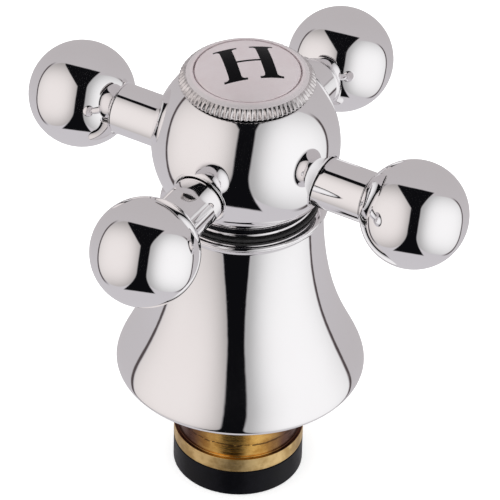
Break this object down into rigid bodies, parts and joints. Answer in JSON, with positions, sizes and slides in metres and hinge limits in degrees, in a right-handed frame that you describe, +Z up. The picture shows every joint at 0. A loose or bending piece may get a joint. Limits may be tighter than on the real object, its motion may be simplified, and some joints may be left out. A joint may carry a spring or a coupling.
{
  "type": "cross-handle tap head",
  "caption": "Hot-side tap head: a cross handle with ball-ended arms turns a ceramic-disc headwork inside a flared chrome shroud over a brass neck.",
  "frame": {"origin": "centre of the base seal's underside, on the spindle axis", "axes": "+Z up along the spindle axis towards the index cap; +Y the way up of the letter on the cap; handle arms on the diagonals when closed"},
  "size_m": [0.0628, 0.0628, 0.0827],
  "materials": {
    "chrome_plate": "mirror-polished chrome plate over brass",
    "satin_chrome": "satin chrome with a fine turned grain",
    "polished_brass": "polished brass, turned",
    "turned_brass": "as-turned brass",
    "spring_steel": "bright stainless steel",
    "black_rubber": "smooth moulded black rubber",
    "black_enamel": "glossy black enamel fill",
    "white_ceramic": "lapped white alumina ceramic",
    "black_nylon": "moulded black nylon"
  },
  "bodies": {
    "headwork": {"base_seal": "black_rubber", "valve_body": "polished_brass", "neck_o_ring": "black_rubber", "seat_seal": "black_rubber", "fixed_disc": "white_ceramic", "thrust_washer": "black_nylon", "shroud": "chrome_plate", "shroud_nut": "turned_brass", "shroud_seat_ring": "black_rubber", "wear_washer": "black_nylon"},
    "turning_handle": {"turning_disc": "white_ceramic", "spindle": "turned_brass", "spindle_o_ring_1": "black_rubber", "spindle_o_ring_2": "black_rubber", "stop_washer": "spring_steel", "circlip": "spring_steel", "spline_bush": "black_nylon", "handle_hub": "chrome_plate", "dust_ring": "black_rubber", "handle_arm_1": "chrome_plate", "ball_end_1": "chrome_plate", "handle_arm_2": "chrome_plate", "ball_end_2": "chrome_plate", "handle_arm_3": "chrome_plate", "ball_end_3": "chrome_plate", "handle_arm_4": "chrome_plate", "ball_end_4": "chrome_plate", "handle_screw": "spring_steel", "screw_washer": "spring_steel", "index_cap": "satin_chrome", "cap_o_ring": "black_rubber", "index_disc": "satin_chrome", "hot_letter": "black_enamel"}
  },
  "joints": [
    {"name": "handle_turn", "type": "hinge", "parent": "headwork", "child": "turning_handle", "pos_m": [0, 0, 0.0644], "axis": [0, 0, 1], "range_deg": [0, 90]}
  ]
}
